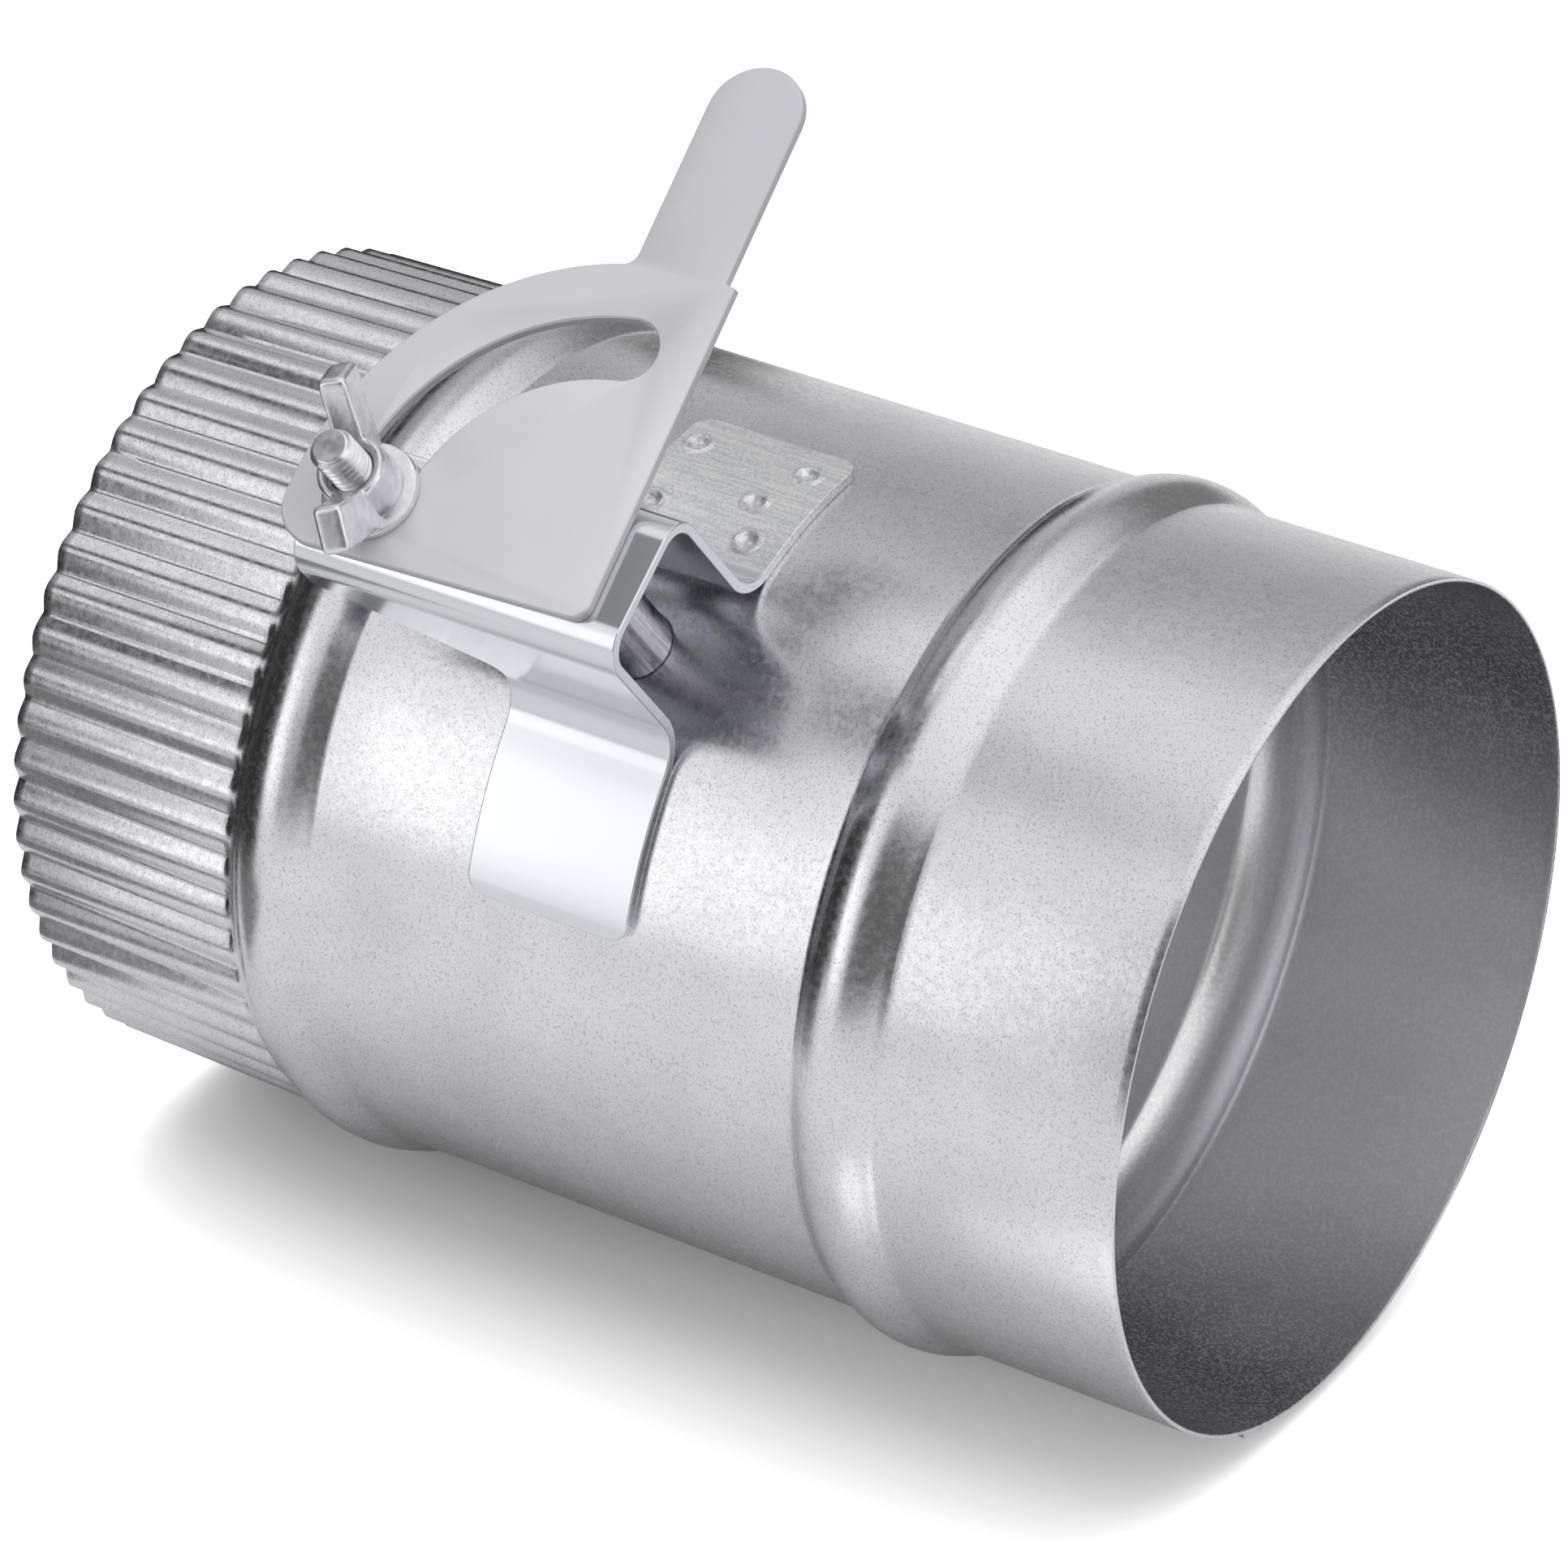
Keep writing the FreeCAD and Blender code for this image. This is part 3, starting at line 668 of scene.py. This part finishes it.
axle_at = Vector((AXLE_X, 0, 0))
bar = lathed([(0, -82.0), (5.65, -82.0), (6.35, -81.3), (6.35, 111.1), (0, 111.1)], axle_at, 64, 0.2)
as_piece(bar, "axle_bar", "damper", drawn.material, "axle")
for number, height in enumerate((-50.0, 0.0, 50.0), 1):
    head = [(0, 9.43), (2.2, 9.35), (3.3, 8.9), (4.3, 7.9), (4.3, 7.43), (2.4, 7.39), (2.4, -6.35),
            (4.3, -6.35), (4.3, -6.9), (3.3, -7.85), (2.2, -8.25), (0, -8.35)]
    rivet = lathed(head, Vector((0, 0, 0)), 32, 0.15)
    bmesh.ops.rotate(rivet, cent=(0, 0, 0), matrix=Matrix.Rotation(math.pi / 2, 3, "Y"), verts=rivet.verts)
    bmesh.ops.translate(rivet, vec=(AXLE_X, 0, height), verts=rivet.verts)
    as_piece(rivet, f"rivet_head_{number}", "damper", drawn.material, f"blade_rivet_{number}")

# %% [markdown]
# The bolt is a carriage bolt: a domed head under the bracket, a square neck that stops it from turning, and a
# thread. The thread's tooth is drawn once and spun with a rise, one pitch for each turn, which is how a screw
# is cut. Its numbers are the radius and the height above the thread's start.

# %% Thread of the carriage bolt
PITCH = 1.411
THREAD_TURNS = 13
STEPS_PER_TURN = 32
THREAD_Z = 113.5
TIP_Z = 131.1
bolt_at = Vector((BOLT_X, 0, 0))
thread = bmesh.new()
tooth = [(3.90, -0.08), (3.90, 0.08), (3.20, 0.55), (3.12, 0.705), (3.20, 0.86), (3.90, 1.331)]
verts, edges = open_line(thread, [(BOLT_X + r, 0, THREAD_Z + z) for r, z in tooth])
bmesh.ops.spin(thread, geom=verts + edges, cent=bolt_at, axis=(0, 0, 1), angle=math.tau * THREAD_TURNS,
               steps=STEPS_PER_TURN * THREAD_TURNS, dvec=(0, 0, PITCH / STEPS_PER_TURN))
bmesh.ops.remove_doubles(thread, verts=thread.verts, dist=1e-3)
bmesh.ops.holes_fill(thread, edges=[e for e in thread.edges if e.is_boundary])
bmesh.ops.recalc_face_normals(thread, faces=thread.faces)
print("thread:", len(thread.faces), "faces,", sum(e.is_boundary for e in thread.edges), "open edges")

# %% [markdown]
# The thread runs past the bolt's tip, so a chamfered envelope trims it there, as a die leaves a bolt's end. The
# domed head, the plain shank and the square neck are then added to it.

# %% Trim the tip and add the head, shank and neck
NECK_SIDE = 7.9
NECK_HEIGHT = 3.2
NECK_Z = 110.7
tip_lines = [(0, 0), (2.9, -0.06), (3.25, -0.25), (3.45, -0.55), (4.0, -1.2), (8, -1.2), (8, 8), (0, 8)]
top_off = bmesh.new()
turned(top_off, [(BOLT_X + r, 0, TIP_Z + z) for r, z in tip_lines], (0, 0, 1), 64, centre=bolt_at)
bolt = cut_by(thread, top_off)
lathed([(0, 104.47), (3.3, 104.9), (5.6, 106.0), (7.6, 107.5), (9.1, 109.0), (9.1, 109.1), (3.9, 109.1),
        (3.9, 115.0), (0, 115.0)], bolt_at, 64, 0.05, bolt)
neck = bmesh.new()
neck_size = Matrix.Diagonal((NECK_SIDE, NECK_SIDE, NECK_HEIGHT, 1))
bmesh.ops.create_cube(neck, size=1, matrix=Matrix.Translation((BOLT_X, 0, NECK_Z)) @ neck_size)
bmesh.ops.bevel(neck, geom=[e for e in neck.edges if abs(e.verts[0].co.z - e.verts[1].co.z) > 1],
                affect="EDGES", offset=0.9, segments=3, profile=0.5, material=-1)
merge(bolt, neck)
as_piece(bolt, "threaded_bolt", "duct", zinc.material, "carriage_bolt", sharp=24)

# %% [markdown]
# The washer is a stamped ring with rounded rims. Its underside is 0.04 mm above the lever, so that the two never
# share a plane when the lever turns. The wing nut is forged: every inner corner is a soft fillet.
# It is put together from a hub and two wings with rounded edges, then remeshed as one skin, bored, and smoothed,
# which melts the joints as forging does.

# %% Washer and wing nut
ring_lines = [(4.5, 113.14), (8.55, 113.14), (8.8, 113.38), (8.8, 114.1), (8.6, 114.5), (8.2, WASHER_TOP),
              (4.7, WASHER_TOP), (4.35, 114.4), (4.35, 113.33)]
ring = bmesh.new()
turned(ring, [(BOLT_X + r, 0, z) for r, z in ring_lines], (0, 0, 1), 72, closed=True, centre=bolt_at)
as_piece(ring, "washer_ring", "washer", zinc.material, "washer")

NUT_TURN = math.radians(117.0)
NUT_BORE = 4.05
WING_SIZE = (18.0, 5.2, 8.4)
WING_ROUNDING = 1.1
WING_RISE = math.radians(50.0)
WING_TIP = Vector((18.2, 0, 12.0))
SKIN = ("REMESH", {"mode": "VOXEL", "voxel_size": 0.22})
along_wing = Vector((math.cos(WING_RISE), 0, math.sin(WING_RISE)))
across_wing = Vector((-math.sin(WING_RISE), 0, math.cos(WING_RISE)))
wing_middle = WING_TIP + across_wing * (WING_SIZE[2] / 2) - along_wing * (WING_SIZE[0] / 2)
nut = bmesh.new()
hub = [(NUT_BORE, 0.0), (6.3, 0.0), (6.5, 0.4), (6.55, 2.0), (6.35, 4.6), (6.15, 7.4), (5.8, 8.2), (5.1, 8.3),
       (NUT_BORE, 7.3)]
turned(nut, [(r, 0, z) for r, z in hub], (0, 0, 1), 72, closed=True)
for turn in (0.0, math.pi):
    wing = bmesh.new()
    bmesh.ops.create_cube(wing, size=1, matrix=Matrix.Diagonal((*WING_SIZE, 1)))
    bmesh.ops.bevel(wing, geom=list(wing.edges), affect="EDGES", offset=WING_ROUNDING, segments=4, profile=0.5,
                    material=-1)
    bmesh.ops.rotate(wing, cent=(0, 0, 0), matrix=Matrix.Rotation(-WING_RISE, 3, "Y"), verts=wing.verts)
    bmesh.ops.translate(wing, vec=wing_middle, verts=wing.verts)
    bmesh.ops.rotate(wing, cent=(0, 0, 0), matrix=Matrix.Rotation(turn, 3, "Z"), verts=wing.verts)
    merge(nut, wing)
bore_lines = [(0, -2), (NUT_BORE, -2), (NUT_BORE, 7.3), (6.2, 9.6), (11.0, 16.0), (11.0, 30.0), (0, 30.0)]
bore = bmesh.new()
turned(bore, [(r, 0, z) for r, z in bore_lines], (0, 0, 1), 72)
nut = cut_by(with_modifiers(nut, SKIN), bore)
nut = with_modifiers(nut, SKIN, ("SMOOTH", {"factor": 0.6, "iterations": 9}))
bmesh.ops.rotate(nut, cent=(0, 0, 0), matrix=Matrix.Rotation(NUT_TURN, 3, "Z"), verts=nut.verts)
bmesh.ops.translate(nut, vec=(BOLT_X, 0, WASHER_TOP), verts=nut.verts)
as_piece(nut, "wing_nut_forged", "wing_nut", zinc.material, "wing_nut", sharp=80)

# %% [markdown]
# The studio is a pale paper floor under a white sky. A strength of 1 is white, and the camera and polished metal
# see that white, while dull surfaces get a softer share of it. The floor answers each kind of ray with its own
# paper: bright for the camera, so that the background is white and only the object's shadow is left on it, and
# for reflections a painted pool of light, a soft brighter spot under the duct near the mouth.

# %% Floor and sky
FLOOR_Z = -0.0803
PAPER_SEEN = 2.3  # more for the camera
PAPER_DULL = 0.3  # for every ray
SKY_SEEN = 0.55  # more for the camera and for reflections
SKY_DULL = 0.45  # for every ray
floor_bm = bmesh.new()
bmesh.ops.create_grid(floor_bm, x_segments=1, y_segments=1, size=6.0)
bmesh.ops.translate(floor_bm, vec=(0, 0, FLOOR_Z), verts=floor_bm.verts)
floor = bpy.data.objects.new("floor", mesh_of(floor_bm, "floor"))
scene.collection.objects.link(floor)


def added(nodes, links, rays, shares):
    """A number that grows by a share for each kind of ray that Light Path names."""
    total = None
    for kind, share in shares:
        node = nodes.new("ShaderNodeMath")
        node.operation = "MULTIPLY_ADD"
        links.new(rays.outputs[kind], node.inputs[0])
        node.inputs[1].default_value = share
        if total is None:
            node.inputs[2].default_value = 0.0
        else:
            links.new(total, node.inputs[2])
        total = node.outputs["Value"]
    return total


paper = Finish("paper_floor", (0.3, 0.3, 0.3), 0.0, 1.0)
sheet = paper.nodes.new("ShaderNodeBsdfDiffuse")
rays = paper.nodes.new("ShaderNodeLightPath")
first_hand = paper.math("LESS_THAN", rays.outputs["Diffuse Depth"], 0.5)
from_spot = paper.nodes.new("ShaderNodeVectorMath")
from_spot.operation = "DISTANCE"
from_spot.inputs[1].default_value = (-0.035, -0.135, FLOOR_Z)
paper.join(paper.place, from_spot.inputs[0])
# painted light: a soft brighter pool on the paper under the duct near the mouth, seen only by reflections
painted_light_spot = paper.ranged(from_spot.outputs["Value"], 0.010, 0.045, 1.4, 0.82)
glossy_share = paper.math("MULTIPLY", paper.math("MULTIPLY", rays.outputs["Is Glossy Ray"], first_hand), painted_light_spot)
camera_share = added(paper.nodes, paper.links, rays,
                     (("Is Camera Ray", PAPER_SEEN), ("Is Transmission Ray", PAPER_SEEN)))
paper_tone = paper.math("ADD", paper.math("ADD", camera_share, glossy_share), PAPER_DULL)
paper.join(paper_tone, sheet.inputs["Color"])
paper.join(sheet.outputs["BSDF"], paper.nodes["Material Output"].inputs["Surface"])
floor.data.materials.append(paper.material)

sky = bpy.data.worlds.new("white_sky")
scene.world = sky
sky.use_nodes = True
sky_nodes = sky.node_tree.nodes
sky_rays = sky_nodes.new("ShaderNodeLightPath")
clear = added(sky_nodes, sky.node_tree.links, sky_rays,
              (("Is Camera Ray", SKY_SEEN), ("Is Glossy Ray", SKY_SEEN), ("Is Transmission Ray", SKY_SEEN)))
strength = sky_nodes.new("ShaderNodeMath")
strength.operation = "ADD"
strength.inputs[1].default_value = SKY_DULL
sky.node_tree.links.new(clear, strength.inputs[0])
sky_nodes["Background"].inputs["Color"].default_value = (1, 1, 1, 1)
sky.node_tree.links.new(strength.outputs["Value"], sky_nodes["Background"].inputs["Strength"])
print("floor at", FLOOR_Z, "m")

# %% [markdown]
# Bare metal shows its surroundings more than its own colour, so a photographer builds those surroundings: a tent
# of graded paper round the object. Here it is a long drum round the duct's axis that only reflections can see.
# Its tone goes by the angle round that axis: a bright panel in front and grey behind. Toward the left there is
# a narrow dark gap overhead, which gives the flat plate its dark strip, and then a strip of brighter paper for
# the crimps. At the far left the tent is black, which draws the dark flank of each bead. The right part has a
# grading of its own, and the drum's right end is its brightest paper. Light that has already met a dull surface
# sees only a tenth of all this, so the tent hardly lights the floor.

# %% The graded tent
DRUM_RADIUS = 1.5
DRUM_HALF = 3.2


def for_reflections(piece):
    """Leaves a piece to reflections alone, as a part of the studio."""
    piece.visible_camera = False
    piece.visible_diffuse = False
    piece.visible_shadow = False
    piece.visible_transmission = False


class Tone(Finish):
    """Glowing paper whose brightness is read from a ramp."""

    def __init__(self, name):
        super().__init__(name, (0.5, 0.5, 0.5), 0.0, 1.0)
        self.glow = self.nodes.new("ShaderNodeEmission")
        self.join(self.glow.outputs["Emission"], self.nodes["Material Output"].inputs["Surface"])
        self.axes = self.nodes.new("ShaderNodeSeparateXYZ")
        self.join(self.place, self.axes.inputs["Vector"])

    def by_angle(self, stops):
        """Brightness by the angle round X, in degrees: 0 is the front, 90 is straight up."""
        front = self.math("MULTIPLY", self.axes.outputs["Y"], -1.0)
        angle = self.math("ARCTAN2", self.axes.outputs["Z"], front)
        ramp = self.nodes.new("ShaderNodeValToRGB")
        self.join(self.math("ADD", self.math("DIVIDE", angle, math.tau), 0.5), ramp.inputs["Fac"])
        first, last = ramp.color_ramp.elements
        ramp.color_ramp.elements.remove(last)
        for degrees, tone in stops:
            stop = first if degrees == -180 else ramp.color_ramp.elements.new(degrees / 360 + 0.5)
            stop.position = degrees / 360 + 0.5
            stop.color = (tone, tone, tone, 1)
        return ramp.outputs["Color"]


drum = bmesh.new()
turned(drum, [(-DRUM_HALF, 0, 0), (-DRUM_HALF, 0, DRUM_RADIUS), (DRUM_HALF, 0, DRUM_RADIUS), (DRUM_HALF, 0, 0)],
       (1, 0, 0), 96)
tent = bpy.data.objects.new("graded_tent", mesh_of(drum, "graded_tent"))
scene.collection.objects.link(tent)
for_reflections(tent)
tones = Tone("tent_paper")
ahead = tones.by_angle(((-180, 0.72), (-120, 0.72), (-40, 0.85), (-12, 0.9), (0, 1.05), (8, 1.2), (27, 1.2),
                        (38, 0.9), (56, 0.78), (98, 0.78), (112, 0.5), (135, 0.34), (152, 0.44), (172, 0.6),
                        (180, 0.7)))
right = tones.by_angle(((-180, 0.15), (-40, 0.4), (0, 0.3), (26, 0.6), (50, 0.85), (75, 1.0), (105, 1.0),
                        (127, 0.7), (150, 0.2)))
left = tones.by_angle(((-180, 0.05), (-30, 0.03), (50, 0.03), (80, 0.15), (110, 0.35), (179, 0.4)))
gap = tones.by_angle(((-180, 1.0), (56, 1.0), (59, 0.03), (75, 0.03), (78, 1.0)))
along = tones.axes.outputs["X"]
gap = tones.mixed(tones.ranged(along, -0.84, -0.78), gap, (1.0, 1.0, 1.0))
ahead = tones.math("MULTIPLY", tones.math("MULTIPLY", ahead, gap), tones.ranged(along, -0.98, -0.92, 1.3, 1.0))
tone = tones.mixed(tones.ranged(along, -0.68, -0.45), ahead, right)
tone = tones.mixed(tones.ranged(along, -1.6, -1.25, 1.0, 0.0), tone, left)
tone = tones.mixed(tones.ranged(along, DRUM_HALF - 0.1, DRUM_HALF - 0.05), tone, (1.3, 1.3, 1.3))
tones.join(tone, tones.glow.inputs["Color"])
tent_rays = tones.nodes.new("ShaderNodeLightPath")
seen_first = tones.math("LESS_THAN", tent_rays.outputs["Diffuse Depth"], 0.5)
tones.join(tones.math("MAXIMUM", seen_first, 0.1), tones.glow.inputs["Strength"])
tent.data.materials.append(tones.material)

# %% [markdown]
# A few small flags stand nearer, where a photographer would slide them in at the edge of the picture, and only
# reflections see them too. The left one is black, for the left flank of the beads, with a grey one on the floor
# beside it. One behind the duct darkens the bracket's edges, and the right one the right flank of the beads.

# %% Flags
ON_FLOOR = -0.0798  # half a millimetre above the paper


def flag(name, corners, grey):
    """A plain sheet of one tone, given by its four corners."""
    flag_bm = bmesh.new()
    flag_bm.faces.new([flag_bm.verts.new(corner) for corner in corners])
    piece = bpy.data.objects.new(name, mesh_of(flag_bm, name))
    scene.collection.objects.link(piece)
    finish = Tone(name)
    finish.glow.inputs["Color"].default_value = (grey, grey, grey, 1)
    piece.data.materials.append(finish.material)
    for_reflections(piece)


flag("left_flag", [(-0.38, -0.30, -0.079), (-0.38, 0.45, -0.079), (-0.38, 0.45, 0.16), (-0.38, -0.30, 0.16)], 0.02)
flag("floor_flag", [(-0.42, -0.24, ON_FLOOR), (-0.265, -0.24, ON_FLOOR), (-0.265, -0.09, ON_FLOOR),
                    (-0.42, -0.09, ON_FLOOR)], 0.18)
flag("rear_flag", [(-0.02, 0.07, ON_FLOOR), (0.11, 0.07, ON_FLOOR), (0.11, 0.24, ON_FLOOR),
                   (-0.02, 0.24, ON_FLOOR)], 0.25)
flag("right_flag", [(-0.13, -0.34, 0.03), (0.35, -0.34, 0.03), (0.35, -0.34, 0.33), (-0.13, -0.34, 0.33)],
     0.12)

# %% [markdown]
# One large round lamp hangs overhead. It is hidden from reflections, because the tent already gives them, so it
# only lights the dull surfaces and makes the soft shadow on the floor. A very weak small one with a narrow beam
# points into the mouth, where the large one hardly reaches.

# %% Lamps
def round_lamp(name, size, watts, place):
    """A round lamp that reflections don't see."""
    lamp = bpy.data.lights.new(name, "AREA")
    lamp.shape = "DISK"
    lamp.size = size
    lamp.energy = watts
    holder = bpy.data.objects.new(name, lamp)
    holder.matrix_world = place
    holder.visible_glossy = False
    scene.collection.objects.link(holder)
    return lamp


overhead = round_lamp("overhead_lamp", 2.2, 12.0, Matrix.Translation((-0.03, 0.03, 1.6)))
fill_at = Vector((0.35, -0.25, 0.10))
toward = Vector((0.0, 0.01, 0.0)) - fill_at
fill_turn = toward.to_track_quat("-Z", "Y").to_matrix().to_4x4()
fill = round_lamp("mouth_fill", 0.16, 0.03, Matrix.Translation(fill_at) @ fill_turn)
fill.spread = math.radians(22.0)
print("lamps:", overhead.energy, "W overhead and", round(fill.energy, 3), "W into the mouth")

# %% [markdown]
# The camera stands where the photographer stood, found by fitting the duct's circles and straight edges. It is
# far away with a long lens, so the duct hardly tapers.

# %% Camera
camera_data = bpy.data.cameras.new("camera")
camera_data.sensor_width = 36.0
camera_data.lens = 163.5
camera_data.clip_end = 50.0
camera = bpy.data.objects.new("camera", camera_data)
camera.location = (0.4853, -0.9084, 0.6588)
camera.rotation_euler = (math.radians(59.11), 0.0, math.radians(33.47))
scene.collection.objects.link(camera)
scene.camera = camera
scene.view_settings.view_transform = "Standard"
print("camera:", [round(c, 3) for c in camera.location], camera_data.lens, "mm")
